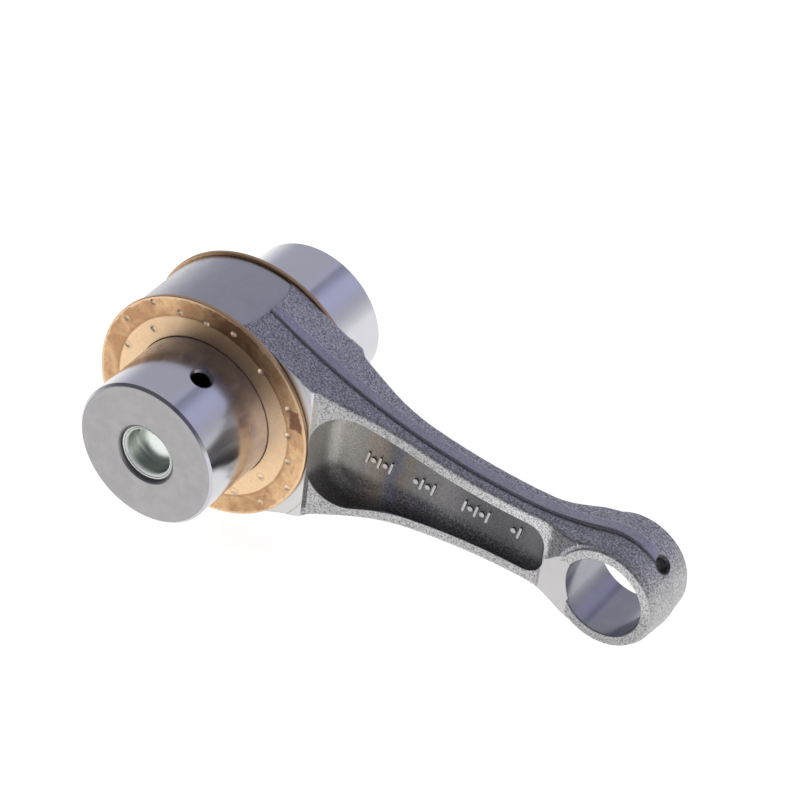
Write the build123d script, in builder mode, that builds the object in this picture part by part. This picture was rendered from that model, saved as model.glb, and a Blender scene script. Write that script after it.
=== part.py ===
from build123d import *
import os
from math import asin, atan2, cos, degrees, hypot, pi, radians, sin, sqrt, tan

os.makedirs("parts", exist_ok=True)

# ---------------------------------------------------------------- dimensions
# All sizes in millimetres, all angles in degrees.

# Rod, big end at one end and small end at the other
centre_distance = 101.3     # big-end axis to small-end axis
race_r = 21.05              # ground roller raceway in the big end
race_chamfer = 0.6
small_bore_r = 9.5          # piston-pin bore
small_bore_chamfer = 0.15
big_half = 9.65             # half the width over the machined big-end faces
facing_r = 30.3             # cutter circle that faces the big end
crown_r = 26.75             # turned outside of the big-end cap
# where the turned crown stops: places along the rod, at these distances
# from the mid-plane
crown_stop = [(9.15, 0.0), (9.05, 3.0), (8.6, 6.0), (7.2, 9.7)]
small_half = 8.05           # half the width over the small-end ring faces
small_ring_r = 11.8         # raised ring around the small-end bore

# Forging, given at the parting plane
rough_big_r = 27.8
rough_small_r = 13.0
waist_x = 77.0              # narrowest point of the beam, from the big end
waist_half = 9.45
draft = 5.0
big_boss_half = 9.95        # rough half-width of the big end
small_boss_half = 7.3       # rough half-width of the small end
beam_half = 4.3             # half-width over the I-beam flanges
flash_half = 1.3            # trimmed parting-line band
flash_out = 0.4             # band's height above the forging, along the beam
flash_big = 0.2             # and round the big end, clear of the rest plane
flash_back = 0.8            # small-end band set back, so that it fades at the tip
flange_fillet = 0.8
web_half = 1.55
flange = 3.6                # flange depth at the web, in from the outline
pocket_left = 28.6
pocket_right = 84.2
pocket_draft = 10.0
pocket_floor_fillet = 3.0

small_oil_r = 1.6           # oil hole through the small-end crown
small_oil_sink = 0.85       # depth of its countersink
small_oil_angle = 45.0

# Raised forging mark, places along the rod
mark_z = 0.3
bar_size = (3.6, 0.86)
dot_r = 0.78
mark_proud = 0.5
mark_bars = [38.0, 41.0, 44.0, 52.0, 55.0, 63.0, 66.0, 69.0, 77.0]
mark_dots = [39.5, 42.5, 50.5, 53.5, 64.5, 67.5, 75.5]

# Crank pin
pin_r = 17.5
pin_length = 66.4
pin_front = 32.3            # front face, ahead of the rod's mid-plane
pin_chamfer = 0.6
pin_bore_r = 6.9
pin_bore_depth = 44.0
pin_oil_r = 2.1
plug_recess = 0.8           # plug rim below the pin's face
plug_sheet = 0.9
pin_oil_y = -20.3           # cross hole that meets the crank web's oilway
pin_oil_angle = 72.8        # from the rod's direction, about the pin axis

# Needle-roller bearing
roller_r = 1.72
roller_length = 14.0
roller_count = 18
cage_inner_r = 17.8
cage_outer_r = 20.7
cage_half = 8.7
cage_pocket_gap = 0.06

# Thrust washers
washer_r = 27.5
washer_bore_r = 17.6
washer_thickness = 1.0
washer_gap = 0.15           # running gap to the big-end face
dimple_pitch = 7.12
dimple_angle = 5.6
dimple_r = 0.75
dimple_depth = 0.33

# ------------------------------------------------------------------- frame
# The kit lies on a level surface: the thrust washers and the small end touch
# it, so the rod's axis dips towards the small end. The origin is the centre
# of the small-end bore, +Y runs along both bores and +Z points straight up.
rest_small_r = rough_small_r + flash_out
dip = degrees(asin((washer_r - rest_small_r) / centre_distance))
ca, sa = cos(radians(dip)), sin(radians(dip))
along = Vector(ca, 0, -sa)            # big end to small end
across = Vector(sa, 0, ca)            # square to the rod, upwards
big_centre = Vector(-centre_distance * ca, 0, centre_distance * sa)

# Planes through the big-end centre. FRONT and REAR have x along the rod.
FRONT = Plane(origin=big_centre, x_dir=along, z_dir=(0, -1, 0))
REAR = Plane(origin=big_centre, x_dir=along, z_dir=(0, 1, 0))
TOP = Plane(origin=big_centre, x_dir=along, z_dir=across)
big_axis = Axis(origin=big_centre, direction=(0, 1, 0))


def radial_plane(centre, angle, y=0.0):
    """Plane square to a bore's radius, at an angle from the rod's direction."""
    a = radians(angle)
    out = along * cos(a) + across * sin(a)
    return Plane(
        origin=(centre.X, centre.Y + y, centre.Z), x_dir=(0, 1, 0), z_dir=out
    )


def rod_xyz(point):
    """A point's place along the rod, along the bores and across the rod."""
    d = point - big_centre
    return d.dot(along), d.Y, d.dot(across)


def waist_arc(boss_r, boss_x, half):
    """Radius of the waist arc tangent to a boss's circle, and its end angle."""
    run = abs(waist_x - boss_x)
    r = (run**2 + half**2 - boss_r**2) / (2 * (boss_r - half))
    return r, degrees(atan2(half + r, run))


waist_r1 = waist_arc(rough_big_r, 0.0, waist_half)[0]


def rod_outline(out, big_out=0.0, back=0.0):
    """Closed side view of the rod, offset outwards by out, and by big_out at
    the big end. The small-end circle sits back towards the beam by back, and
    still reaches down to the rest plane, so an offset fades at the tip."""
    half = waist_half + out
    tip = centre_distance - back
    big_r = rough_big_r + big_out
    small_r = rough_small_r + out + back * sa
    r1, angle_big = waist_arc(big_r, 0.0, half)
    r2, angle_small = waist_arc(small_r, tip, half)
    angle_small = 180 - angle_small
    CenterArc((0, 0), big_r, angle_big, 360 - 2 * angle_big)
    CenterArc((tip, 0), small_r, -angle_small, 2 * angle_small)
    a1 = CenterArc((waist_x, half + r1), r1, 180 + angle_big, 90 - angle_big)
    a2 = CenterArc((waist_x, half + r2), r2, 270, angle_small - 90)
    mirror(a1, about=Plane.XZ)
    mirror(a2, about=Plane.XZ)


oil_plane = radial_plane(Vector(0, 0, 0), small_oil_angle)
pin_oil_plane = radial_plane(big_centre, pin_oil_angle, pin_oil_y)
roller_oil_plane = radial_plane(big_centre, pin_oil_angle, 0.0)

# ---------------------------------------------------------- connecting rod
# Cutter for the flat milled beside the small-end bore
with BuildPart() as flat_cutter:
    with BuildSketch(FRONT, REAR):
        with BuildLine():
            Polyline(
                (84.0, -16), (84.0, -1.6), (86.4, 0.6), (88.2, 2.6),
                (90.2, 4.4), (92.2, 5.0), (93.4, 3.6), (93.4, -16), (84.0, -16),
            )
        make_face()
    extrude(amount=12)
    # only what lies outside the sloping flat is cut
    with BuildSketch(TOP):
        with BuildLine():
            Polyline(
                (83.0, -3.9), (94.5, -7.6), (94.5, 7.6), (83.0, 3.9), (83.0, -3.9)
            )
        make_face()
    extrude(amount=30, both=True, mode=Mode.SUBTRACT)

# Cutter for the I-beam pockets, one each side of the web, with rounded floors
with BuildPart() as pocket_cutter:
    with BuildSketch(FRONT.offset(web_half), REAR.offset(web_half)) as floor:
        with BuildLine():
            pr = waist_r1 + flange
            cz = waist_half + waist_r1
            zl = cz - sqrt(pr**2 - (waist_x - pocket_left) ** 2)
            zr = cz - sqrt(pr**2 - (waist_x - pocket_right) ** 2)
            zm = cz - sqrt(pr**2 - (waist_x - 55.0) ** 2)
            ThreePointArc((pocket_left, zl), (55.0, zm), (pocket_right, zr))
            ThreePointArc((pocket_left, -zl), (55.0, -zm), (pocket_right, -zr))
            Line((pocket_left, -zl), (pocket_left, zl))
            Line((pocket_right, -zr), (pocket_right, zr))
        make_face()
        fillet(floor.vertices().group_by(Axis.X)[0], 7.4)
        fillet(floor.vertices().group_by(Axis.X)[-1], 4.2)
    extrude(amount=9.0, taper=-pocket_draft)
    fillet(
        [e for e in pocket_cutter.edges() if abs(e.bounding_box().size.Y) < 0.001
         and abs(abs(e.center().Y) - web_half) < 0.001],
        pocket_floor_fillet,
    )

# Cutter for the turned crown round the cap
with BuildPart() as crown_cutter:
    with BuildSketch(TOP):
        with BuildLine():
            stop = Spline(
                *[(x, -y) for x, y in reversed(crown_stop)], *crown_stop[1:]
            )
            Polyline(stop @ 1, (7.0, 16), (-45, 16), (-45, -16), (7.0, -16), stop @ 0)
        make_face()
    extrude(amount=45, both=True)
    with BuildSketch(FRONT):
        Circle(crown_r)
    extrude(amount=20, both=True, mode=Mode.SUBTRACT)

with BuildPart() as connecting_rod:
    # drafted forging, both ways from the parting plane
    with BuildSketch(FRONT):
        with BuildLine():
            rod_outline(0)
        make_face()
    extrude(amount=big_boss_half + 0.5, both=True, taper=draft)

    # plan view: wide bosses, thin beam, and the blends between them
    with BuildSketch(TOP):
        with BuildLine():
            l1 = Line((-32, big_boss_half), (26.8, big_boss_half))
            l2 = Line(l1 @ 1, (27.9, 8.9))
            s1 = Spline(
                l2 @ 1, (31.0, 7.95), (34.5, 7.0), (38.4, 5.9), (42.0, 5.1),
                (46.0, 4.55), (50.5, beam_half),
                tangents=[(1, -0.35), (1, 0)],
            )
            l3 = Line(s1 @ 1, (81.5, beam_half))
            s2 = Spline(
                l3 @ 1, (85.0, 4.75), (88.0, 5.75), (91.0, 6.85),
                (94.5, small_boss_half),
                tangents=[(1, 0), (1, 0)],
            )
            l4 = Line(s2 @ 1, (118, small_boss_half))
            Line(l4 @ 1, (118, 0))
            Line((-32, 0), l1 @ 0)
            Line((-32, 0), (118, 0))
        make_face()
        mirror(about=Plane.XZ)
    extrude(amount=40, both=True, mode=Mode.INTERSECT)

    # rounded outer corners of the flanges and the small end
    corners = []
    for e in connecting_rod.edges():
        x, y, z = rod_xyz(e @ 0.5)
        if 28 < x < 115 and abs(y) > 3.5 and (abs(z) > 8 or x > 105) and e.length > 3:
            corners.append(e)
    fillet(corners, flange_fillet)

    # raised ring around the small-end bore
    with BuildSketch(FRONT):
        with Locations((centre_distance, 0)):
            Circle(small_ring_r + 0.4)
    extrude(amount=small_half, both=True, taper=3)

    # trimmed flash along the parting line, ground away round the small-end tip
    with BuildSketch(FRONT):
        with BuildLine():
            rod_outline(flash_out, flash_big, flash_back)
        make_face()
    extrude(amount=flash_half, both=True)

    # I-beam pockets
    add(pocket_cutter.part, mode=Mode.SUBTRACT)

    # raised forging mark on the front web: a plain row of bars and dots
    with BuildSketch(FRONT.offset(web_half - 0.1)):
        with Locations(*[(x, mark_z) for x in mark_bars]):
            SlotOverall(*bar_size, rotation=78)
        with Locations(*[(x, mark_z) for x in mark_dots]):
            Circle(dot_r)
    extrude(amount=mark_proud + 0.1, taper=12)

    # milled flat beside the small-end bore, on both faces
    add(flat_cutter.part, mode=Mode.SUBTRACT)

    # faced big end
    with BuildSketch(FRONT.offset(big_half), REAR.offset(big_half)):
        Circle(facing_r)
    extrude(amount=3, mode=Mode.SUBTRACT)

    # turned crown round the cap, running out in a shallow curve at the beam
    add(crown_cutter.part, mode=Mode.SUBTRACT)

    # ground bores
    with BuildSketch(FRONT):
        Circle(race_r)
        with Locations((centre_distance, 0)):
            Circle(small_bore_r)
    extrude(amount=20, both=True, mode=Mode.SUBTRACT)
    race_rims = [
        e for e in connecting_rod.edges().filter_by(GeomType.CIRCLE)
        if abs(e.radius - race_r) < 0.01 and abs(abs(e.center().Y) - big_half) < 0.01
    ]
    chamfer(race_rims, race_chamfer)

    with BuildSketch(
        Plane(origin=(0, -small_half + small_bore_chamfer, 0), x_dir=along, z_dir=(0, -1, 0)),
        Plane(origin=(0, small_half - small_bore_chamfer, 0), x_dir=along, z_dir=(0, 1, 0)),
    ):
        Circle(small_bore_r)
    extrude(amount=1.2, taper=-45, mode=Mode.SUBTRACT)

    # piston-pin oil hole through the small-end crown, countersunk
    with BuildSketch(oil_plane):
        Circle(small_oil_r)
    extrude(amount=20, mode=Mode.SUBTRACT)
    with BuildSketch(oil_plane.offset(rough_small_r - small_oil_sink)):
        Circle(small_oil_r)
    extrude(amount=small_oil_sink + 1, taper=-35, mode=Mode.SUBTRACT)

connecting_rod.part.label = "connecting_rod"
export_step(connecting_rod.part, "parts/connecting_rod.step")

# --------------------------------------------------------------- crank pin
with BuildPart() as crank_pin:
    with BuildSketch(FRONT.offset(pin_front)):
        Circle(pin_r)
    extrude(amount=-pin_length)
    chamfer(crank_pin.edges().group_by(Axis.Y)[0], pin_chamfer)
    chamfer(crank_pin.edges().group_by(Axis.Y)[-1], pin_chamfer)

    # oil bore from the front, closed at the back by the drill point
    with BuildSketch(FRONT.offset(pin_front)):
        Circle(pin_bore_r)
    extrude(amount=-pin_bore_depth, mode=Mode.SUBTRACT)
    with BuildSketch(FRONT.offset(pin_front - pin_bore_depth)):
        Circle(pin_bore_r)
    extrude(amount=-3.5, taper=59, mode=Mode.SUBTRACT)
    mouth = [
        e for e in crank_pin.edges().filter_by(GeomType.CIRCLE)
        if abs(e.radius - pin_bore_r) < 0.01 and e.center().Y < -pin_front + 0.01
    ]
    chamfer(mouth, 0.6)

    # cross hole for oil in, countersunk, and one for oil out to the rollers
    with BuildSketch(pin_oil_plane, roller_oil_plane):
        Circle(pin_oil_r)
    extrude(amount=25, mode=Mode.SUBTRACT)
    with BuildSketch(pin_oil_plane.offset(pin_r - 0.75), roller_oil_plane.offset(pin_r - 0.75)):
        Circle(pin_oil_r)
    extrude(amount=1.5, taper=-40, mode=Mode.SUBTRACT)

    # grinding centre in the rear face
    with BuildSketch(REAR.offset(pin_length - pin_front)):
        Circle(3.0)
    extrude(amount=-2.2, taper=45, mode=Mode.SUBTRACT)

crank_pin.part.label = "crank_pin"
export_step(crank_pin.part, "parts/crank_pin.step")

# -------------------------------------------------- pressed cup in the bore
with BuildPart() as oil_plug:
    with BuildSketch(TOP):
        with BuildLine():
            rim = -pin_front + plug_recess
            # domed bottom, centred on the axis
            dome_top, dome_r = rim + 3.0, 13.6
            dome_centre = (0, dome_top + dome_r)
            front_angle = degrees(asin(5.0 / dome_r))
            back_angle = degrees(asin(5.0 / (dome_r - plug_sheet)))
            front = CenterArc(dome_centre, dome_r, 270, front_angle)
            back = CenterArc(dome_centre, dome_r - plug_sheet, 270, back_angle)
            Line(front @ 0, back @ 0)
            # cup wall, with a rolled rim
            wall = Polyline(front @ 1, (5.5, rim + 3.4), (5.7, rim + 0.5))
            lip = Polyline(wall @ 1, (5.95, rim + 0.1), (6.2, rim + 0.25), (6.5, rim),
                           (pin_bore_r, rim + 0.4), (pin_bore_r, rim + 4.6))
            Polyline(lip @ 1, (6.2, rim + 5.2), back @ 1)
        make_face()
    revolve(axis=big_axis)

oil_plug.part.label = "oil_plug"
export_step(oil_plug.part, "parts/oil_plug.step")

# ------------------------------------------------------------- roller cage
pitch_r = (pin_r + race_r) / 2
with BuildPart(FRONT) as roller_cage:
    with BuildSketch(FRONT):
        Circle(cage_outer_r)
        Circle(cage_inner_r, mode=Mode.SUBTRACT)
    extrude(amount=cage_half, both=True)
    chamfer(roller_cage.edges().filter_by(GeomType.CIRCLE), 0.3)
    with PolarLocations(pitch_r, roller_count, start_angle=10):
        Box(
            8,
            2 * (roller_r + cage_pocket_gap),
            roller_length + 2 * cage_pocket_gap,
            mode=Mode.SUBTRACT,
        )

roller_cage.part.label = "roller_cage"
export_step(roller_cage.part, "parts/roller_cage.step")

# ----------------------------------------------------------------- rollers
for i in range(roller_count):
    a = radians(10 + i * 360 / roller_count)
    spot = big_centre + along * (pitch_r * cos(a)) + across * (pitch_r * sin(a))
    with BuildPart() as roller:
        with BuildSketch(Plane(origin=spot, x_dir=along, z_dir=(0, -1, 0))):
            Circle(roller_r)
        extrude(amount=roller_length / 2, both=True)
        chamfer(roller.edges().filter_by(GeomType.CIRCLE), 0.25)
    roller.part.label = f"roller_{i + 1:02d}"
    export_step(roller.part, f"parts/roller_{i + 1:02d}.step")

# ---------------------------------------------------------- thrust washers
# Punched from bronze sheet with a square field of small oil dimples
inner_face = big_half + washer_gap
outer_face = inner_face + washer_thickness
ball_r = (dimple_r**2 + dimple_depth**2) / (2 * dimple_depth)


def dimple_spots():
    """Lattice points that lie wholly on the washer's face."""
    t = radians(dimple_angle)
    spots = []
    for i in range(-6, 7):
        for j in range(-6, 7):
            u, v = (i + 0.19) * dimple_pitch, (j + 0.21) * dimple_pitch
            x, z = u * cos(t) - v * sin(t), u * sin(t) + v * cos(t)
            if washer_bore_r + 1.0 < hypot(x, z) < washer_r - 1.0:
                spots.append((x, z))
    return spots


for name, side in (("front_thrust_washer", FRONT), ("rear_thrust_washer", REAR)):
    with BuildPart() as washer:
        with BuildSketch(side.offset(inner_face)):
            Circle(washer_r)
            Circle(washer_bore_r, mode=Mode.SUBTRACT)
        extrude(amount=washer_thickness)
        chamfer(washer.edges().filter_by(GeomType.CIRCLE), 0.12)
        with Locations(side.offset(inner_face + washer_thickness)):
            with Locations(*[(x, z, ball_r - dimple_depth) for x, z in dimple_spots()]):
                Sphere(ball_r, mode=Mode.SUBTRACT)
    washer.part.label = name
    export_step(washer.part, f"parts/{name}.step")
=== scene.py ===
import math

import bpy
from mathutils import Matrix, Vector


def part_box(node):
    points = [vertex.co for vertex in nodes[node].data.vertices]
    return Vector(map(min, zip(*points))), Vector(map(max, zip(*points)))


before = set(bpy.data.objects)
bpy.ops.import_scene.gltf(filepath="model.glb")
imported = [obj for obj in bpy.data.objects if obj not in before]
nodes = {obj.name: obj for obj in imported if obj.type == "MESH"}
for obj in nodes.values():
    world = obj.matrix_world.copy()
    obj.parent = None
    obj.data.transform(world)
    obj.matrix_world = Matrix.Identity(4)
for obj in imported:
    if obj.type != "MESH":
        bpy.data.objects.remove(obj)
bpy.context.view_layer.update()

# ------------------------------------------------------------------ geometry
# Sizes in millimetres, in the rod's own directions: x along the rod from the
# big-end centre, y along the bores, z across the rod.
CENTRES = 101.3
RACE_R = 21.05
SMALL_R = 9.5
BIG_HALF = 9.65
DIP = math.asin((27.5 - 13.4) / CENTRES)
CA, SA = math.cos(DIP), math.sin(DIP)
ALONG = Vector((CA, 0, -SA))
ACROSS = Vector((SA, 0, CA))
BIG = Vector((-CENTRES * CA, 0, CENTRES * SA)) / 1000


# colour of the pocket floors, by place along the rod: partly the skin's tone, partly painted light and shade, bright
# near the big end and darker further along
POCKET_TONE_AND_SHADE = [
    (28.0, (0.44, 0.425, 0.400)), (31.0, (0.46, 0.445, 0.420)), (36.0, (0.30, 0.288, 0.275)),
    (40.0, (0.245, 0.235, 0.222)), (44.0, (0.130, 0.129, 0.133)), (50.0, (0.178, 0.176, 0.179)),
    (58.0, (0.205, 0.202, 0.207)), (66.0, (0.125, 0.124, 0.130)), (74.0, (0.118, 0.117, 0.123)),
    (80.0, (0.158, 0.158, 0.163)), (86.0, (0.16, 0.16, 0.165)),
]
# the rear washer's lattice, as it lies when seen from the front
REAR_X, REAR_Z = 1.0, -1.0


def spot(x, y, z):
    """A point given in the rod's directions, in millimetres, as a place in the frame."""
    return BIG + ALONG * (x / 1000) + Vector((0, y / 1000, 0)) + ACROSS * (z / 1000)


# ------------------------------------------------------------- node helpers
class Tree:
    """Short names for building one material's nodes."""

    def __init__(self, name):
        self.mat = bpy.data.materials.new(name)
        self.mat.use_nodes = True
        self.t = self.mat.node_tree
        self.t.nodes.clear()
        self.out = self.t.nodes.new("ShaderNodeOutputMaterial")
        self.bsdf = self.t.nodes.new("ShaderNodeBsdfPrincipled")
        self.t.links.new(self.bsdf.outputs[0], self.out.inputs[0])
        tc = self.t.nodes.new("ShaderNodeTexCoord")
        self.obj = tc.outputs["Object"]
        self.local()

    def put(self, socket, x):
        if isinstance(x, bpy.types.NodeSocket):
            self.t.links.new(x, socket)
        elif isinstance(x, (tuple, list)) and len(x) == 3 and len(socket.default_value) == 4:
            socket.default_value = (*x, 1.0)
        else:
            socket.default_value = x

    def m(self, op, a, b=None, c=None, clamp=False):
        n = self.t.nodes.new("ShaderNodeMath")
        n.operation = op
        n.use_clamp = clamp
        for i, x in enumerate((a, b, c)):
            if x is not None:
                self.put(n.inputs[i], x)
        return n.outputs[0]

    def v(self, op, a, b=None):
        n = self.t.nodes.new("ShaderNodeVectorMath")
        n.operation = op
        self.put(n.inputs[0], a)
        if b is not None:
            self.put(n.inputs[3 if op == "SCALE" else 1], b)
        return n.outputs["Value"] if op in ("DOT_PRODUCT", "LENGTH", "DISTANCE") else n.outputs[0]

    def local(self):
        """Coordinates in the rod's directions, in millimetres."""
        q = self.v("SUBTRACT", self.obj, tuple(BIG))
        x = self.m("MULTIPLY", self.v("DOT_PRODUCT", q, tuple(ALONG)), 1000)
        z = self.m("MULTIPLY", self.v("DOT_PRODUCT", q, tuple(ACROSS)), 1000)
        y = self.m("MULTIPLY", self.v("DOT_PRODUCT", q, (0, 1, 0)), 1000)
        self.x, self.y, self.z = x, y, z
        self.p = self.xyz(x, y, z)
        self.ay = self.m("ABSOLUTE", y)
        self.r = self.hyp(x, z)

    def xyz(self, x, y, z):
        n = self.t.nodes.new("ShaderNodeCombineXYZ")
        for i, s in enumerate((x, y, z)):
            self.put(n.inputs[i], s)
        return n.outputs[0]

    def hyp(self, a, b):
        return self.m("SQRT", self.m("ADD", self.m("MULTIPLY", a, a), self.m("MULTIPLY", b, b)))

    def step(self, x, a, b, lo=0.0, hi=1.0):
        """Smooth from lo to hi as x goes from a to b, whichever of the two is larger."""
        if a > b:
            a, b, lo, hi = b, a, hi, lo
        n = self.t.nodes.new("ShaderNodeMapRange")
        n.interpolation_type = "SMOOTHSTEP"
        self.put(n.inputs["Value"], x)
        for k, val in (("From Min", a), ("From Max", b), ("To Min", lo), ("To Max", hi)):
            self.put(n.inputs[k], val)
        return n.outputs[0]

    def noise(self, scale, detail=2.0, rough=0.5, vec=None, dist=0.0):
        n = self.t.nodes.new("ShaderNodeTexNoise")
        self.put(n.inputs["Vector"], self.p if vec is None else vec)
        n.inputs["Scale"].default_value = scale
        n.inputs["Detail"].default_value = detail
        n.inputs["Roughness"].default_value = rough
        n.inputs["Distortion"].default_value = dist
        return n.outputs[0]

    def cells(self, scale, vec=None, feature="SMOOTH_F1", smooth=0.5, rand=1.0):
        n = self.t.nodes.new("ShaderNodeTexVoronoi")
        n.feature = feature
        self.put(n.inputs["Vector"], self.p if vec is None else vec)
        n.inputs["Scale"].default_value = scale
        n.inputs["Randomness"].default_value = rand
        if feature == "SMOOTH_F1":
            n.inputs["Smoothness"].default_value = smooth
        return n.outputs["Distance"]

    def mix(self, fac, a, b, blend="MIX"):
        n = self.t.nodes.new("ShaderNodeMix")
        n.data_type = "RGBA"
        n.blend_type = blend
        n.clamp_factor = True
        self.put(n.inputs[0], fac)
        self.put(n.inputs[6], a)
        self.put(n.inputs[7], b)
        return n.outputs[2]

    def lerp(self, fac, a, b):
        n = self.t.nodes.new("ShaderNodeMix")
        n.data_type = "FLOAT"
        self.put(n.inputs[0], fac)
        self.put(n.inputs[2], a)
        self.put(n.inputs[3], b)
        return n.outputs[0]

    def ramp(self, x, stops):
        """A colour along x, from (place, colour) stops."""
        lo, hi = stops[0][0], stops[-1][0]
        n = self.t.nodes.new("ShaderNodeMapRange")
        self.put(n.inputs["Value"], x)
        self.put(n.inputs["From Min"], float(lo))
        self.put(n.inputs["From Max"], float(hi))
        c = self.t.nodes.new("ShaderNodeValToRGB")
        self.t.links.new(n.outputs[0], c.inputs[0])
        e = c.color_ramp.elements
        while len(e) < len(stops):
            e.new(0.5)
        for el, (place, color) in zip(e, stops):
            el.position = (place - lo) / (hi - lo)
            if not isinstance(color, (tuple, list)):
                color = (color, color, color)
            el.color = (*color, 1.0)
        return c.outputs[0]

    def facing(self):
        """How far the surface faces along the bores, 0 to 1, in the piece's own axes."""
        g = self.t.nodes.new("ShaderNodeNewGeometry")
        n = self.t.nodes.new("ShaderNodeVectorTransform")
        n.vector_type = "NORMAL"
        n.convert_from = "WORLD"
        n.convert_to = "OBJECT"
        self.t.links.new(g.outputs["True Normal"], n.inputs[0])
        return self.m("ABSOLUTE", self.v("DOT_PRODUCT", n.outputs[0], (0, 1, 0)))

    def band(self, x, centre, half, soft):
        """1 within half of centre, falling to 0 over soft."""
        return self.step(self.m("ABSOLUTE", self.m("SUBTRACT", x, centre)), half + soft, half)

    def hsv(self, color, value):
        n = self.t.nodes.new("ShaderNodeHueSaturation")
        self.put(n.inputs["Color"], color)
        self.put(n.inputs["Value"], value)
        return n.outputs[0]

    def bump(self, height, distance, strength=1.0, normal=None):
        n = self.t.nodes.new("ShaderNodeBump")
        self.put(n.inputs["Height"], height)
        n.inputs["Distance"].default_value = distance
        self.put(n.inputs["Strength"], strength)
        if normal is not None:
            self.put(n.inputs["Normal"], normal)
        return n.outputs[0]

    def bevel(self, radius, samples=4):
        n = self.t.nodes.new("ShaderNodeBevel")
        n.samples = samples
        n.inputs["Radius"].default_value = radius
        return n.outputs[0]

    def edge(self, radius, lo, hi, samples=4):
        """1 near a sharp edge, 0 away from it."""
        g = self.t.nodes.new("ShaderNodeNewGeometry")
        d = self.v("DOT_PRODUCT", self.bevel(radius, samples), g.outputs["True Normal"])
        return self.step(d, hi, lo)

    def finish(self, color=None, rough=None, metal=None, normal=None, **other):
        b = self.bsdf.inputs
        if color is not None:
            self.put(b["Base Color"], color)
        if rough is not None:
            self.put(b["Roughness"], rough)
        if metal is not None:
            self.put(b["Metallic"], metal)
        if normal is not None:
            self.put(b["Normal"], normal)
        for k, val in other.items():
            self.put(b[k.replace("_", " ")], val)
        return self.mat


def dress(node, mat):
    o = nodes[node]
    o.data.materials.clear()
    o.data.materials.append(mat)


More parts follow.
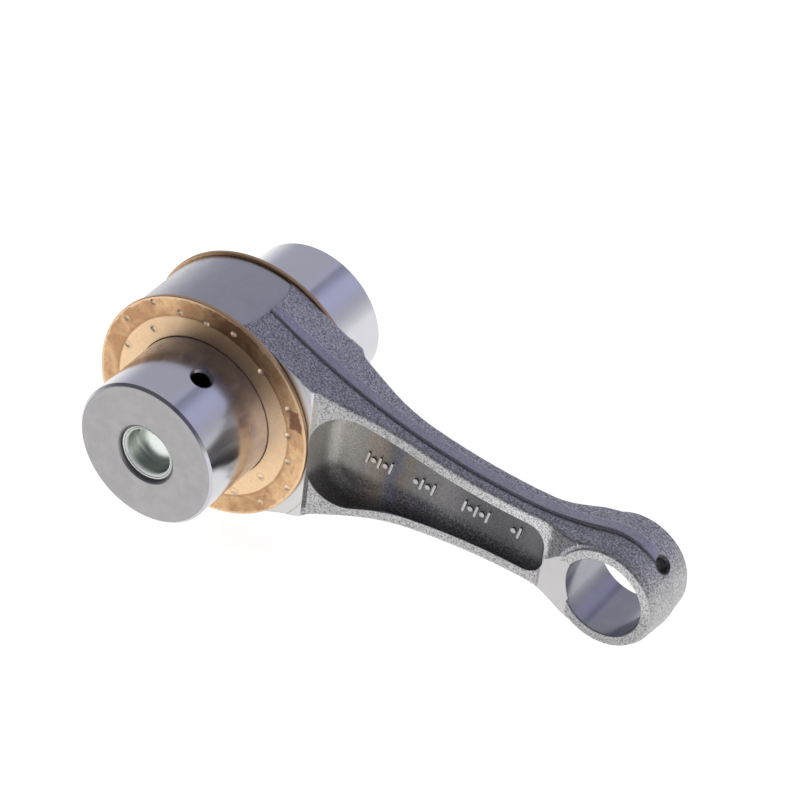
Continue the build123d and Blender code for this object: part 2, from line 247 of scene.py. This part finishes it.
# ------------------------------------------------------- rod: forged steel
def rod_material():
    t = Tree("forged_steel")
    x, y, z, ay, r, p = t.x, t.y, t.z, t.ay, t.r, t.p
    az = t.m("ABSOLUTE", z)
    xs = t.m("SUBTRACT", x, CENTRES)
    rs = t.hyp(xs, z)
    ny = t.facing()

    # which surfaces are machined
    wob = t.m("MULTIPLY", t.m("SUBTRACT", t.noise(0.55, 2), 0.5), 0.4)
    stop = t.m("SUBTRACT", 9.15, t.m("MULTIPLY", t.m("POWER", ay, 2.63), 0.00494))
    left = t.step(t.m("SUBTRACT", t.m("ADD", x, wob), stop), 0.12, -0.12)
    face = t.step(ay, 9.58, 9.63)
    race = t.step(r, 21.9, 21.7)
    bore = t.step(rs, 9.66, 9.60)
    d = t.m("SUBTRACT", ay, t.m("ADD", t.m("MULTIPLY", t.m("SUBTRACT", x, 83.0), 3.7 / 11.5), 3.9))
    flat = t.m("MULTIPLY", t.step(t.m("ABSOLUTE", d), 0.09, 0.05),
               t.m("MULTIPLY", t.step(x, 83.7, 83.9), t.step(x, 93.7, 93.5)))
    c45 = math.sqrt(0.5)
    u = t.m("MULTIPLY", t.m("ADD", xs, z), c45)
    w = t.m("MULTIPLY", t.m("SUBTRACT", z, xs), c45)
    hole_r = t.hyp(w, y)
    in_hole = t.m("MULTIPLY", t.step(hole_r, 2.32, 2.22), t.step(u, 9.3, 9.7))
    ground = t.m("MAXIMUM", race, bore)
    cut = t.m("MAXIMUM", t.m("MAXIMUM", left, face), t.m("MAXIMUM", flat, ground))

    # zones of the forging
    z_out = t.m("SUBTRACT", 152.38, t.m("SQRT", t.m("SUBTRACT", 142.93 ** 2,
                t.m("POWER", t.m("SUBTRACT", 77.0, x), 2.0))))
    depth = t.m("SUBTRACT", z_out, az)
    pocket = t.m("MULTIPLY", t.step(depth, 0.9, 1.3), t.step(ay, 4.24, 4.16))
    pocket = t.m("MULTIPLY", pocket, t.m("MULTIPLY", t.step(x, 23.5, 24.5), t.step(x, 88.0, 87.0)))
    # close to the big end the pocket's mouth lies further out
    mouth = t.m("MULTIPLY", t.step(depth, 2.6, 3.2), t.m("MULTIPLY", t.step(x, 46.0, 43.0), t.step(x, 23.5, 24.5)))
    steep = t.m("MULTIPLY", mouth, t.step(ny, 0.90, 0.80))
    pocket = t.m("MAXIMUM", pocket, steep)
    land = t.m("MULTIPLY", t.step(ny, 0.74, 0.88), t.m("SUBTRACT", 1.0, pocket))
    land = t.m("MULTIPLY", land, t.step(ay, 3.6, 4.0))
    ring = t.m("MULTIPLY", t.step(rs, 12.7, 12.4), t.step(ay, 7.4, 7.7))
    ragged = t.m("ADD", x, t.m("MULTIPLY", t.m("SUBTRACT", t.noise(0.55, 3, 0.6), 0.5), 3.6))
    land = t.m("MULTIPLY", land, t.m("MAXIMUM", t.step(ragged, 86.9, 84.8), ring))
    tip = t.m("MULTIPLY", t.step(xs, -2.0, 2.0), t.step(w, 0.5, -4.0))
    strip = t.m("MULTIPLY", t.step(ay, 1.40, 1.28), t.m("SUBTRACT", 1.0, pocket))
    strip = t.m("MULTIPLY", strip, t.m("SUBTRACT", 1.0, tip))
    off_pocket = t.m("MULTIPLY", t.m("SUBTRACT", 1.0, pocket), t.m("SUBTRACT", 1.0, tip))
    groove_shade = t.m("MULTIPLY", t.band(y, -1.72, 0.18, 0.32), off_pocket)
    lip = t.m("MULTIPLY", t.band(y, 1.36, 0.10, 0.14), off_pocket)

    # shot-cleaned skin: worm-like grains, coarse low in the pockets
    warp = t.noise(0.9, 2, 0.5)
    g1 = t.noise(2.35, 1.6, 0.55, dist=0.45)
    g2 = t.noise(5.2, 2, 0.55)
    pits = t.cells(2.3, smooth=0.35)
    grain = t.m("ADD", t.m("MULTIPLY", g1, 0.72), t.m("MULTIPLY", g2, 0.28))
    speck = t.step(grain, 0.39, 0.62)
    broad = t.noise(0.11, 3, 0.6)
    dark = t.mix(broad, (0.27, 0.266, 0.305), (0.33, 0.326, 0.365))
    light = t.mix(broad, (0.59, 0.58, 0.63), (0.72, 0.71, 0.75))
    forged = t.mix(speck, dark, light)
    # the tip of the small end is a little warmer
    forged = t.mix(t.step(x, 100, 110), forged, t.mix(1.0, forged, (1.04, 1.03, 0.99), "MULTIPLY"))
    tipped = t.m("MULTIPLY", t.step(xs, 6.0, 12.0), t.step(w, 1.0, -6.0))
    forged = t.mix(tipped, forged, t.mix(speck, (0.44, 0.435, 0.43), (0.66, 0.655, 0.65)))
    # painted shade: the faces of the neck beside the small end are darkened
    neck_shade = t.m("MULTIPLY", t.step(ny, 0.25, 0.75), t.m("MULTIPLY", t.step(ragged, 84.4, 86.8), t.step(rs, 12.4, 12.9)))
    neck_shade = t.m("MULTIPLY", neck_shade, t.step(xs, 4.0, -2.0))
    forged = t.mix(neck_shade, forged, t.mix(1.0, forged, (0.42, 0.42, 0.41), "MULTIPLY"))

    # trimmed band along the parting line
    soft = t.noise(0.8, 3, 0.6)
    smooth_strip = t.mix(soft, (0.40, 0.39, 0.48), (0.52, 0.51, 0.60))
    smooth_strip = t.mix(t.m("MULTIPLY", t.m("SUBTRACT", 1.0, speck), 0.40), smooth_strip, (0.27, 0.265, 0.33))
    forged = t.mix(t.m("MULTIPLY", strip, 0.75), forged, smooth_strip)
    # painted shade: a dark line along the groove in front of the trimmed band
    forged = t.mix(t.m("MULTIPLY", groove_shade, t.m("ADD", 0.45, t.m("MULTIPLY", warp, 0.4))), forged, (0.11, 0.105, 0.13))
    # painted highlight, partly edge wear: a light line along the rear edge of the trimmed band
    forged = t.mix(t.m("MULTIPLY", lip, t.m("MULTIPLY", warp, 0.9)), forged, (0.74, 0.73, 0.78))

    # front lands are lighter, with the pits left dark; lighter still on the upper side towards the small end
    land_speck = t.step(grain, 0.36, 0.56)
    land_c = t.mix(land_speck, (0.29, 0.285, 0.285), t.mix(broad, (0.56, 0.555, 0.555), (0.67, 0.665, 0.665)))
    land_c = t.mix(t.m("MULTIPLY", t.step(x, 55, 80), t.step(z, -2, 2)), land_c, t.mix(1.0, land_c, (1.30, 1.30, 1.31), "MULTIPLY"))
    land_c = t.mix(ring, land_c, t.mix(1.0, land_c, (0.86, 0.86, 0.855), "MULTIPLY"))
    forged = t.mix(t.m("MULTIPLY", land, 0.95), forged, land_c)

    # pocket: fine even skin; its colour ramp partly paints shade, darker towards the small end
    fine = t.noise(6.0, 2, 0.6)
    base = t.ramp(x, POCKET_TONE_AND_SHADE)
    pock = t.mix(t.step(fine, 0.36, 0.64), t.mix(1.0, base, (0.80, 0.80, 0.80), "MULTIPLY"), t.mix(1.0, base, (1.50, 1.48, 1.46), "MULTIPLY"))
    # painted shade: darker low in the pocket, towards the lower wall
    low = t.step(z, -2.5, -5.5)
    coarse_shade = t.mix(t.step(g1, 0.42, 0.62), (0.075, 0.074, 0.084), (0.19, 0.187, 0.203))
    pock = t.mix(t.m("MULTIPLY", low, t.m("MULTIPLY", t.step(x, 38, 48), 0.85)), pock, coarse_shade)
    pock = t.mix(t.m("MULTIPLY", low, t.band(x, 50.0, 3.0, 5.0)), pock, t.mix(1.0, pock, (0.70, 0.71, 0.76), "MULTIPLY"))
    sunk_shade = t.m("MULTIPLY", t.step(z, -3.8, -7.2), t.step(x, 46.0, 38.0))
    pock = t.mix(t.m("MULTIPLY", sunk_shade, 0.85), pock, t.mix(t.step(g1, 0.40, 0.64), (0.085, 0.082, 0.082), (0.17, 0.165, 0.16)))
    # raised marks: painted highlight on their tops and painted shade on their sides
    mark_top_highlight = t.m("MULTIPLY", t.step(ay, 1.90, 2.00), t.m("MULTIPLY", t.step(t.m("ABSOLUTE", t.m("SUBTRACT", z, 0.3)), 2.0, 1.9), t.step(ay, 2.3, 2.2)))
    mark_top_highlight = t.m("MULTIPLY", mark_top_highlight, t.m("MULTIPLY", t.step(ny, 0.85, 0.95), t.m("MULTIPLY", t.step(x, 36.0, 36.5), t.step(x, 79.0, 78.5))))
    mark_top_highlight = t.m("MULTIPLY", mark_top_highlight, t.step(y, 0.5, -0.5))
    in_row = t.m("MULTIPLY", t.step(t.m("ABSOLUTE", t.m("SUBTRACT", z, 0.3)), 2.15, 2.05), t.m("MULTIPLY", t.step(x, 36.0, 36.5), t.step(x, 79.0, 78.5)))
    mark_side_shade = t.m("MULTIPLY", t.step(ny, 0.9, 0.6), t.m("MULTIPLY", in_row, t.step(y, 0.5, -0.5)))
    pock = t.mix(t.m("MULTIPLY", mark_side_shade, 0.85), pock, (0.03, 0.03, 0.033))
    pock = t.mix(t.m("MULTIPLY", mark_top_highlight, 0.80), pock, (0.72, 0.71, 0.71))
    # heat tint across the front web
    web = t.m("MULTIPLY", t.step(ay, 3.4, 2.8), t.step(y, 0.5, -0.5))
    tint_x = t.m("ADD", t.m("SUBTRACT", x, 44.8), t.m("MULTIPLY", z, -0.09))
    tint_x = t.m("ADD", tint_x, t.m("MULTIPLY", t.m("SUBTRACT", t.noise(0.22, 2), 0.5), 4.0))
    blue = t.m("MULTIPLY", web, t.band(tint_x, 0.0, 0.4, 2.2))
    straw = t.m("MULTIPLY", web, t.band(tint_x, -4.2, 1.0, 3.0))
    straw2 = t.m("MULTIPLY", web, t.band(tint_x, 3.2, 0.5, 2.2))
    pock = t.mix(t.m("MULTIPLY", straw, 0.55), pock, t.mix(1.0, pock, (1.16, 1.0, 0.84), "MULTIPLY"))
    pock = t.mix(t.m("MULTIPLY", straw2, 0.55), pock, t.mix(1.0, pock, (1.20, 1.02, 0.84), "MULTIPLY"))
    pock = t.mix(t.m("MULTIPLY", blue, 0.42), pock, t.mix(1.0, pock, (0.82, 0.90, 1.24), "MULTIPLY"))
    forged = t.mix(pocket, forged, pock)

    # lighter along sharp edges: edge wear, and a painted highlight where the edges catch the light
    worn_and_highlit_edge = t.edge(0.00042, 0.80, 0.985)
    forged = t.mix(t.m("MULTIPLY", worn_and_highlit_edge, 0.6), forged, (0.74, 0.73, 0.74))

    # machined colour with fine tool marks
    lay_face = t.noise(1.0, 3, 0.6, vec=t.xyz(t.m("MULTIPLY", r, 7.0), 0.0, t.m("MULTIPLY", y, 0.2)))
    lay_crown = t.noise(1.0, 3, 0.6, vec=t.xyz(t.m("MULTIPLY", y, 6.0), t.m("MULTIPLY", z, 0.25), t.m("MULTIPLY", x, 0.25)))
    lay = t.lerp(face, lay_crown, lay_face)
    mottled = t.noise(0.22, 4, 0.6)
    steel = t.mix(t.m("MULTIPLY", lay, 0.5), (0.44, 0.44, 0.475), (0.56, 0.56, 0.59))
    steel = t.mix(t.m("MULTIPLY", mottled, 0.5), steel, (0.38, 0.38, 0.42))
    steel = t.mix(face, steel, t.mix(lay, (0.62, 0.615, 0.61), (0.76, 0.755, 0.75)))
    steel = t.mix(flat, steel, t.mix(mottled, (0.52, 0.51, 0.515), (0.60, 0.59, 0.59)))
    steel = t.mix(bore, steel, t.mix(mottled, (0.31, 0.31, 0.345), (0.41, 0.41, 0.44)))
    color = t.mix(cut, forged, steel)
    # painted shade inside the small-end oil hole and, less dark, in its countersink
    hole_shade = t.mix(speck, (0.045, 0.045, 0.05), (0.12, 0.117, 0.12))
    countersink_shade = t.mix(speck, (0.10, 0.10, 0.105), (0.24, 0.235, 0.24))
    color = t.mix(in_hole, color, t.mix(t.step(hole_r, 1.62, 1.75), hole_shade, countersink_shade))

    forged_rough = t.lerp(speck, 0.60, 0.46)
    forged_rough = t.lerp(t.m("MULTIPLY", strip, 0.8), forged_rough, 0.42)
    cut_rough = t.lerp(ground, t.lerp(left, 0.34, 0.27), 0.21)
    cut_rough = t.m("ADD", cut_rough, t.m("MULTIPLY", t.m("SUBTRACT", mottled, 0.5), 0.10))
    rough = t.lerp(cut, forged_rough, cut_rough)
    metal = t.lerp(cut, 0.88, 1.0)

    skin = t.m("ADD", t.m("MULTIPLY", grain, 1.1), t.m("MULTIPLY", pits, 0.35))
    skin = t.lerp(t.m("MULTIPLY", strip, 0.7), skin, t.m("MULTIPLY", soft, 0.6))
    fine_h = t.m("ADD", t.m("MULTIPLY", fine, 0.30), t.m("MULTIPLY", t.m("MULTIPLY", g1, low), 0.8))
    skin = t.lerp(pocket, skin, fine_h)
    height = t.lerp(cut, skin, t.m("MULTIPLY", lay, 0.035))
    normal = t.bump(height, 0.00022, 0.80, normal=t.bevel(0.00035))
    return t.finish(color, rough, metal, normal)


# ------------------------------------------------------- crank pin: ground
def pin_material():
    t = Tree("ground_pin_steel")
    y, r = t.y, t.r
    front = t.step(y, -32.22, -32.28)
    rear = t.step(y, 34.02, 34.08)
    end = t.m("MAXIMUM", front, rear)
    bore = t.m("MULTIPLY", t.step(r, 7.7, 7.4), t.step(y, -32.28, -32.22))
    rub = t.noise(0.16, 4, 0.6)
    fine = t.noise(1.0, 2, 0.5, vec=t.xyz(t.m("MULTIPLY", y, 9.0), t.m("MULTIPLY", t.x, 0.12), t.m("MULTIPLY", t.z, 0.12)))
    marks = t.noise(0.9, 5, 0.7, vec=t.xyz(t.m("MULTIPLY", y, 1.8), t.m("MULTIPLY", t.x, 0.5), t.m("MULTIPLY", t.z, 0.5)))
    nick = t.step(marks, 0.72, 0.77)
    side = t.mix(rub, (0.60, 0.60, 0.635), (0.67, 0.67, 0.70))
    side = t.mix(t.m("MULTIPLY", nick, 0.35), side, (0.30, 0.29, 0.30))
    # painted reflection close to the washer: a patchy lilac-grey colour, and the side is a little rougher there
    near_washer_reflection = t.m("MULTIPLY", t.step(y, -21.0, -16.0), t.step(y, 5.0, -5.0))
    reflection_patch = t.step(t.noise(0.30, 4, 0.65, dist=0.4), 0.42, 0.66)
    side = t.mix(t.m("MULTIPLY", near_washer_reflection, t.m("ADD", 0.30, t.m("MULTIPLY", reflection_patch, 0.50))), side, (0.43, 0.43, 0.60))
    face_n = t.noise(1.6, 3, 0.6)
    blotch = t.noise(0.12, 4, 0.65)
    flat = t.mix(blotch, (0.37, 0.362, 0.366), (0.45, 0.442, 0.444))
    flat = t.mix(t.m("MULTIPLY", face_n, 0.22), flat, (0.30, 0.295, 0.30))
    cloud = t.noise(0.33, 4, 0.62, dist=0.3)
    flat = t.mix(t.m("MULTIPLY", t.step(cloud, 0.40, 0.66), 0.30), flat, (0.52, 0.50, 0.515))
    ring = t.step(t.m("ABSOLUTE", t.m("SUBTRACT", r, 16.2)), 0.8, 0.1)
    flat = t.mix(t.m("MULTIPLY", ring, 0.20), flat, (0.48, 0.475, 0.48))
    color = t.mix(end, side, flat)
    lip = t.m("MULTIPLY", t.step(y, -31.66, -31.74), t.step(y, -32.27, -32.20))
    color = t.mix(t.m("MULTIPLY", lip, t.step(r, 16.0, 16.5)), color, (0.56, 0.555, 0.60))
    oa = math.radians(72.8)
    ou = t.m("ADD", t.m("MULTIPLY", t.x, math.cos(oa)), t.m("MULTIPLY", t.z, math.sin(oa)))
    ow = t.m("SUBTRACT", t.m("MULTIPLY", t.z, math.cos(oa)), t.m("MULTIPLY", t.x, math.sin(oa)))
    ohr = t.hyp(ow, t.m("ADD", y, 20.3))
    # painted shade in the pin's oil hole and its countersink
    oil_hole_shade = t.m("MULTIPLY", t.step(ohr, 2.95, 2.65), t.step(ou, 9.0, 11.0))
    color = t.mix(t.m("MULTIPLY", oil_hole_shade, 0.75), color, (0.20, 0.20, 0.225))
    color = t.mix(bore, color, t.mix(t.step(r, 6.9, 7.5), (0.14, 0.135, 0.14), (0.42, 0.41, 0.42)))
    rough = t.lerp(end, t.m("ADD", t.m("ADD", 0.125, t.m("MULTIPLY", near_washer_reflection, 0.13)), t.m("MULTIPLY", rub, 0.07)), t.m("ADD", 0.38, t.m("MULTIPLY", blotch, 0.10)))
    rough = t.lerp(bore, rough, 0.45)
    height = t.lerp(end, t.m("MULTIPLY", fine, 0.03), t.m("MULTIPLY", face_n, 0.08))
    normal = t.bump(height, 0.00010, 0.6, normal=t.bevel(0.00018))
    return t.finish(color, rough, 1.0, normal)


# ------------------------------------------------------------- zinc plug
def plug_material():
    t = Tree("zinc_plate")
    r = t.r
    n = t.noise(0.55, 3, 0.6)
    draw = t.noise(1.0, 3, 0.6, vec=t.xyz(t.m("MULTIPLY", r, 3.2), 0.0, 0.0))
    color = t.mix(n, (0.74, 0.79, 0.74), (0.86, 0.90, 0.85))
    # painted shade: a darker band on the cup's inner wall
    cup_wall_shade = t.band(r, 5.3, 0.28, 0.12)
    color = t.mix(t.m("MULTIPLY", cup_wall_shade, 0.75), color, (0.30, 0.34, 0.29))
    rim = t.step(r, 5.62, 5.72)
    color = t.mix(rim, color, (0.97, 0.99, 0.97))
    gap = t.band(r, 6.20, 0.06, 0.10)
    color = t.mix(t.m("MULTIPLY", gap, 0.85), color, (0.30, 0.33, 0.30))
    # painted highlight: a thin bright ring just inside the cup wall
    inner_ring_highlight = t.band(r, 4.72, 0.05, 0.08)
    color = t.mix(t.m("MULTIPLY", inner_ring_highlight, 0.8), color, (0.95, 0.96, 0.95))
    rough = t.m("ADD", 0.26, t.m("MULTIPLY", n, 0.12))
    rough = t.lerp(rim, rough, 0.50)
    metal = t.lerp(t.m("MULTIPLY", rim, t.m("SUBTRACT", 1.0, gap)), 1.0, 0.25)
    height = t.m("ADD", t.m("MULTIPLY", draw, 0.10), t.m("MULTIPLY", n, 0.18))
    normal = t.bump(height, 0.00018, 0.40, normal=t.bevel(0.00015))
    return t.finish(color, rough, metal, normal)


# ---------------------------------------------------------- bronze washers
def washer_material(name, front):
    t = Tree(name)
    x, y, z, r = t.x, t.y, t.z, t.r
    wob = t.m("MULTIPLY", t.m("SUBTRACT", t.noise(0.35, 2), 0.5), 0.35)
    inner = t.step(t.m("ADD", r, wob), 22.62, 22.38)
    patch = t.noise(0.15, 3, 0.6, dist=0.35)
    patch2 = t.noise(0.42, 3, 0.6, dist=0.4)
    fine = t.noise(4.0, 2, 0.5)
    clean = t.mix(patch2, (0.90, 0.64, 0.39), (0.98, 0.74, 0.48))
    dull = t.mix(t.step(patch, 0.34, 0.66), (0.50, 0.285, 0.15), (0.82, 0.55, 0.31))
    dull = t.mix(t.m("MULTIPLY", t.step(patch2, 0.55, 0.72), 0.50), dull, (0.38, 0.19, 0.11))
    grainy = t.step(t.noise(2.2, 3, 0.6), 0.38, 0.62)
    # a browner ring just outside the inner ring
    outer_brown_ring = t.m("MULTIPLY", t.band(t.m("ADD", r, wob), 22.75, 0.12, 0.45), t.m("SUBTRACT", 1.0, inner))
    dull = t.mix(t.m("MULTIPLY", outer_brown_ring, 0.5), dull, (0.42, 0.235, 0.125))
    clean = t.mix(t.m("MULTIPLY", grainy, 0.45), clean, t.mix(1.0, clean, (0.84, 0.80, 0.74), "MULTIPLY"))
    dull = t.mix(t.m("MULTIPLY", grainy, 0.45), dull, t.mix(1.0, dull, (0.82, 0.78, 0.72), "MULTIPLY"))
    color = t.mix(inner, dull, clean)
    if front:
        # painted reflection of the pin: one dark patch towards the beam
        sx = t.m("SUBTRACT", x, 24.1)
        sz = t.m("SUBTRACT", z, 8.6)
        sd = t.m("MAXIMUM", t.m("MULTIPLY", t.m("ABSOLUTE", sx), 1.05), t.m("MULTIPLY", t.m("ABSOLUTE", sz), 0.66))
        sd = t.m("ADD", sd, t.m("MULTIPLY", t.m("SUBTRACT", t.noise(0.7, 3, 0.6), 0.5), 1.6))
        reflection_patch = t.m("MULTIPLY", t.step(sd, 1.95, 1.5), t.step(t.m("ADD", r, wob), 22.4, 22.7))
        color = t.mix(t.m("MULTIPLY", reflection_patch, 0.85), color, t.mix(patch2, (0.11, 0.04, 0.03), (0.26, 0.11, 0.07)))
    else:
        # painted shade: the rear washer, behind the big end, is the same bronze darkened all over
        color = t.mix(0.45, color, (0.34, 0.20, 0.11))
    if front:
        # darker on top, towards the beam: painted reflection of the pin, partly tarnish
        lean = t.m("ADD", t.m("MULTIPLY", x, math.cos(math.radians(66))), t.m("MULTIPLY", z, math.sin(math.radians(66))))
        tarnish_and_reflection = t.m("MULTIPLY", t.step(t.m("DIVIDE", lean, r), 0.66, 0.94), 0.80)
        color = t.mix(tarnish_and_reflection, color, t.mix(1.0, color, (0.66, 0.62, 0.57), "MULTIPLY"))
    rim_wob = t.m("MULTIPLY", t.m("SUBTRACT", t.noise(0.5, 3, 0.6), 0.5), 1.3)
    rim = t.step(t.m("ADD", r, rim_wob), 26.75, 27.05)
    color = t.mix(t.m("MULTIPLY", rim, 0.7 if front else 0.3), color, (0.92, 0.66, 0.42))
    side = t.step(r, 27.40, 27.46)
    color = t.mix(t.m("MULTIPLY", side, 0.7), color, (0.50, 0.32, 0.19))
    # dimples get a painted highlight, a bright cream colour, on the same square lattice as the solid
    ang = math.radians(5.6)
    lx, lz = x, z
    if not front:
        # the rear washer is the front one turned over
        lx, lz = t.m("MULTIPLY", x, REAR_X), t.m("MULTIPLY", z, REAR_Z)
    lu = t.m("ADD", t.m("MULTIPLY", lx, math.cos(ang)), t.m("MULTIPLY", lz, math.sin(ang)))
    lv = t.m("SUBTRACT", t.m("MULTIPLY", lz, math.cos(ang)), t.m("MULTIPLY", lx, math.sin(ang)))

    def cell(s, off):
        q = t.m("SUBTRACT", t.m("DIVIDE", s, 7.12), off)
        return t.m("MULTIPLY", t.m("SUBTRACT", q, t.m("ROUND", q)), 7.12)

    dr = t.hyp(cell(lu, 0.19), cell(lv, 0.21))
    dimple_highlight = t.m("MULTIPLY", t.step(dr, 0.80, 0.70), t.m("MULTIPLY", t.step(r, 18.55, 18.65), t.step(r, 26.55, 26.45)))
    color = t.mix(t.m("MULTIPLY", dimple_highlight, 0.6 if front else 0.4), color, (1.0, 0.84, 0.64))
    # painted shade: a darker ring round each dimple
    dimple_shade_ring = t.m("MULTIPLY", t.band(dr, 0.95, 0.05, 0.20), t.m("MULTIPLY", t.step(r, 18.55, 18.65), t.step(r, 26.55, 26.45)))
    color = t.mix(t.m("MULTIPLY", dimple_shade_ring, 0.30), color, (0.42, 0.25, 0.15))
    rough = t.lerp(inner, t.m("ADD", 0.30, t.m("MULTIPLY", patch, 0.20)), 0.48)
    if front:
        rough = t.lerp(reflection_patch, rough, 0.35)
    rough = t.lerp(dimple_highlight, rough, 0.46)
    height = t.m("ADD", t.m("MULTIPLY", fine, 0.18), t.m("MULTIPLY", patch2, 0.5))
    # the inner ring is rubbed a hair lower than the stained band
    height = t.m("SUBTRACT", height, t.m("MULTIPLY", inner, 0.35))
    normal = t.bump(height, 0.00012, 0.5, normal=t.bevel(0.00016))
    return t.finish(color, rough, 1.0, normal)


def plain_steel(name, lo, hi, rough):
    t = Tree(name)
    n = t.noise(0.9, 3, 0.6)
    color = t.mix(n, lo, hi)
    normal = t.bump(t.noise(3.0, 2), 0.00006, 0.4)
    return t.finish(color, t.m("ADD", rough, t.m("MULTIPLY", n, 0.1)), 1.0, normal)


dress("connecting_rod", rod_material())
dress("crank_pin", pin_material())
dress("oil_plug", plug_material())
dress("front_thrust_washer", washer_material("bronze_front", True))
dress("rear_thrust_washer", washer_material("bronze_rear", False))
dress("roller_cage", plain_steel("cage_steel", (0.36, 0.36, 0.38), (0.50, 0.50, 0.52), 0.30))
polished = plain_steel("roller_steel", (0.62, 0.62, 0.64), (0.72, 0.72, 0.74), 0.10)
for name in nodes:
    if name.startswith("roller_") and name != "roller_cage":
        dress(name, polished)

# ------------------------------------------------------------- surroundings
floor_z = min(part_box(n)[0].z for n in nodes)
bpy.ops.mesh.primitive_circle_add(vertices=96, radius=0.32, fill_type="NGON", location=(0, 0, floor_z - 0.0002))
floor = bpy.context.object
floor.name = "floor"
fm = bpy.data.materials.new("floor_white")
fm.use_nodes = True
fb = fm.node_tree.nodes["Principled BSDF"]
fb.inputs["Base Color"].default_value = (0.45, 0.45, 0.45, 1)
fb.inputs["Roughness"].default_value = 0.8
fb.inputs["Specular IOR Level"].default_value = 0.1
fb.inputs["Emission Color"].default_value = (1.0, 0.995, 0.985, 1)
fb.inputs["Emission Strength"].default_value = 0.87
floor.data.materials.append(fm)

# A white tent: bright all round the horizon, a dim lilac-grey overhead, and
# darker still over the front where the opening is.
world = bpy.data.worlds.new("tent")
bpy.context.scene.world = world
world.use_nodes = True
wt = world.node_tree
wt.nodes.clear()


def wn(kind):
    return wt.nodes.new(kind)


def wmath(op, a, b=None, c=None, clamp=False):
    n = wn("ShaderNodeMath")
    n.operation = op
    n.use_clamp = clamp
    for i, s in enumerate((a, b, c)):
        if s is None:
            continue
        if isinstance(s, bpy.types.NodeSocket):
            wt.links.new(s, n.inputs[i])
        else:
            n.inputs[i].default_value = s
    return n.outputs[0]


def wstep(s, a, b, lo=0.0, hi=1.0):
    if a > b:
        a, b, lo, hi = b, a, hi, lo
    n = wn("ShaderNodeMapRange")
    n.interpolation_type = "SMOOTHSTEP"
    wt.links.new(s, n.inputs["Value"])
    for k, val in (("From Min", a), ("From Max", b), ("To Min", lo), ("To Max", hi)):
        n.inputs[k].default_value = val
    return n.outputs[0]


def wmix(f, a, b):
    n = wn("ShaderNodeMix")
    n.data_type = "RGBA"
    for i, s in ((0, f), (6, a), (7, b)):
        if isinstance(s, bpy.types.NodeSocket):
            wt.links.new(s, n.inputs[i])
        elif isinstance(s, (tuple, list)):
            n.inputs[i].default_value = (*s, 1.0)
        else:
            n.inputs[i].default_value = s
    return n.outputs[2]


wtc = wn("ShaderNodeTexCoord")
wsep = wn("ShaderNodeSeparateXYZ")
wt.links.new(wtc.outputs["Generated"], wsep.inputs[0])
dx, dy, dz = wsep.outputs
phi = wmath("MULTIPLY", wmath("ARCTAN2", dz, dx), 180 / math.pi)
# towards the back the tent wall is lit, overhead and to the front it isn't
back = wstep(dy, 0.15, 0.72)
level = wmath("ADD", 0.16, wmath("MULTIPLY", back, 0.44))
# a seam in the wall
seam = wmath("MULTIPLY", wstep(phi, 52, 73), wstep(phi, 79, 75))
level = wmath("MULTIPLY", level, wmath("SUBTRACT", 1.0, wmath("MULTIPLY", seam, 0.42)))
side = wstep(phi, 150, 180)
level = wmath("ADD", level, wmath("MULTIPLY", side, 0.10))
lilac = wmath("MULTIPLY", wstep(phi, 14, 46), wstep(phi, 92, 66))
tent = wmix(lilac, (0.86, 0.87, 1.0), (0.93, 0.95, 1.30))
upper = wn("ShaderNodeVectorMath")
upper.operation = "SCALE"
wt.links.new(tent, upper.inputs[0])
wt.links.new(level, upper.inputs[3])
low = wstep(dz, 0.35, -0.40)
sky = wmix(low, upper.outputs[0], (1.20, 1.19, 1.18))
bg = wn("ShaderNodeBackground")
wt.links.new(sky, bg.inputs[0])
bg.inputs[1].default_value = 1.0
seen = wn("ShaderNodeBackground")
seen.inputs[0].default_value = (1.0, 1.0, 1.0, 1)
seen.inputs[1].default_value = 1.0
path = wn("ShaderNodeLightPath")
wmixs = wn("ShaderNodeMixShader")
wt.links.new(path.outputs["Is Camera Ray"], wmixs.inputs[0])
wt.links.new(bg.outputs[0], wmixs.inputs[1])
wt.links.new(seen.outputs[0], wmixs.inputs[2])
wout = wn("ShaderNodeOutputWorld")
wt.links.new(wmixs.outputs[0], wout.inputs[0])


def area(name, place, aim, size, power, color=(1, 1, 1), size_y=None):
    data = bpy.data.lights.new(name, "AREA")
    data.shape = "RECTANGLE"
    data.size = size
    data.size_y = size_y or size
    data.energy = power
    data.color = color
    o = bpy.data.objects.new(name, data)
    bpy.context.scene.collection.objects.link(o)
    o.location = place
    o.rotation_mode = "QUATERNION"
    o.rotation_quaternion = (Vector(aim) - Vector(place)).to_track_quat("-Z", "Y")
    o.visible_camera = False
    o.visible_glossy = False
    return o


middle = Vector((-0.05, 0, 0))
area("soft", (-0.6, -0.5, 0.9), middle, 0.9, 6.0, (1.0, 0.99, 0.97))

# ------------------------------------------------------------------- camera
cam_data = bpy.data.cameras.new("camera")
cam_data.sensor_width = 36.0
cam_data.lens = 175.04
cam_data.clip_start = 0.01
cam_data.clip_end = 50
cam = bpy.data.objects.new("camera", cam_data)
bpy.context.scene.collection.objects.link(cam)
right = Vector((0.84041, 0.54180, -0.01280))
up = Vector((-0.30133, 0.48677, 0.81992))
away = Vector((-0.45046, 0.68521, -0.57234))
cam.matrix_world = Matrix((
    (right.x, up.x, -away.x, 0.32157),
    (right.y, up.y, -away.y, -0.57328),
    (right.z, up.z, -away.z, 0.50477),
    (0, 0, 0, 1),
))
bpy.context.scene.camera = cam

view = bpy.context.scene.view_settings
view.view_transform = "Standard"
view.look = "None"
view.exposure = 0.0
view.gamma = 1.0
